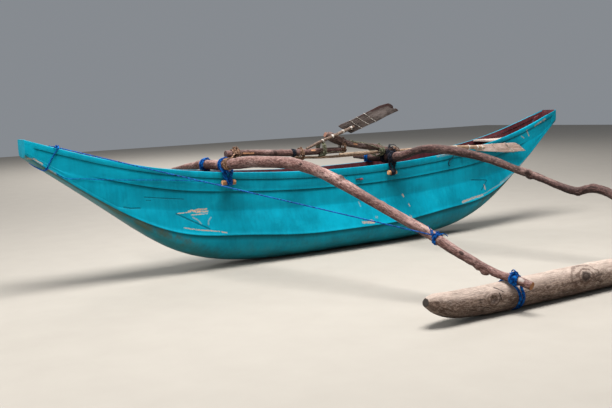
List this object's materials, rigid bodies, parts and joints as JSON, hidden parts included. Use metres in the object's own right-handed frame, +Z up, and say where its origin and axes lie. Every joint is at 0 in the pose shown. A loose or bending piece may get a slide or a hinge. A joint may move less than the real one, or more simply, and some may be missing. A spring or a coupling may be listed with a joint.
{
  "type": "outrigger canoe",
  "caption": "Turquoise moulded outrigger canoe with a narrow slotted hull, bent wooden booms lashed across it and a log float, with its paddles and poles on board.",
  "frame": {"origin": "on the sand under the middle of the whole boat's outline", "axes": "+X from bow to stern along the hull, +Y away from the float, +Z up"},
  "size_m": [7, 4.578, 1.622],
  "materials": {
    "hull_paint": "turquoise gelcoat, weathered satin, dark red inside",
    "seat_planks": "pale bare plank, weathered",
    "boom_wood": "bark-on branch, rough",
    "float_wood": "grey weathered log, matte",
    "spar_wood": "stripped pole, weathered",
    "paddle_wood": "bare board, weathered",
    "toggle_wood": "cut stick, bare",
    "blue_rope": "laid plastic rope",
    "black_rope": "laid rope, tarred look",
    "brown_rope": "coir rope, hairy",
    "green_rope": "faded plastic rope",
    "peg_plastic": "moulded, dull"
  },
  "bodies": {
    "root": {"boom_bow": "boom_wood", "boom_stern": "boom_wood", "bow_loop": "blue_rope", "crooked_spar": "spar_wood", "float_lashing_bow": "blue_rope", "float_lashing_stern": "blue_rope", "float_log": "float_wood", "hull_belly_bow": "hull_paint", "hull_belly_middle": "hull_paint", "hull_belly_stern": "hull_paint", "hull_side_leeward_bow": "hull_paint", "hull_side_leeward_middle": "hull_paint", "hull_side_leeward_stern": "hull_paint", "hull_side_windward_bow": "hull_paint", "hull_side_windward_middle": "hull_paint", "hull_side_windward_stern": "hull_paint", "lashing_bow_leeward": "blue_rope", "lashing_bow_windward": "blue_rope", "lashing_stern_leeward": "blue_rope", "lashing_stern_windward": "black_rope", "light_stick": "spar_wood", "long_spar": "spar_wood", "raised_paddle_board": "paddle_wood", "raised_paddle_pole": "paddle_wood", "rim_leeward_bow": "hull_paint", "rim_leeward_middle": "hull_paint", "rim_leeward_stern": "hull_paint", "rim_windward_bow": "hull_paint", "rim_windward_middle": "hull_paint", "rim_windward_stern": "hull_paint", "seat_plank_bow": "seat_planks", "seat_plank_stern": "seat_planks", "side_peg": "peg_plastic", "spar_lashing_bow": "brown_rope", "spar_lashing_stern": "black_rope", "spar_wrap": "black_rope", "stay": "blue_rope", "stay_lashing": "blue_rope", "stem_head_bow": "hull_paint", "stem_head_stern": "hull_paint", "stowed_paddle_board": "paddle_wood", "stowed_paddle_pole": "paddle_wood", "tie_light_stick": "green_rope", "tie_raised_paddle": "green_rope", "tie_spar_splice": "brown_rope", "tie_stowed_paddle": "brown_rope", "toggle_bow_leeward": "toggle_wood", "toggle_bow_windward": "toggle_wood", "toggle_stern_leeward": "toggle_wood", "toggle_stern_windward": "toggle_wood"}
  },
  "joints": []
}
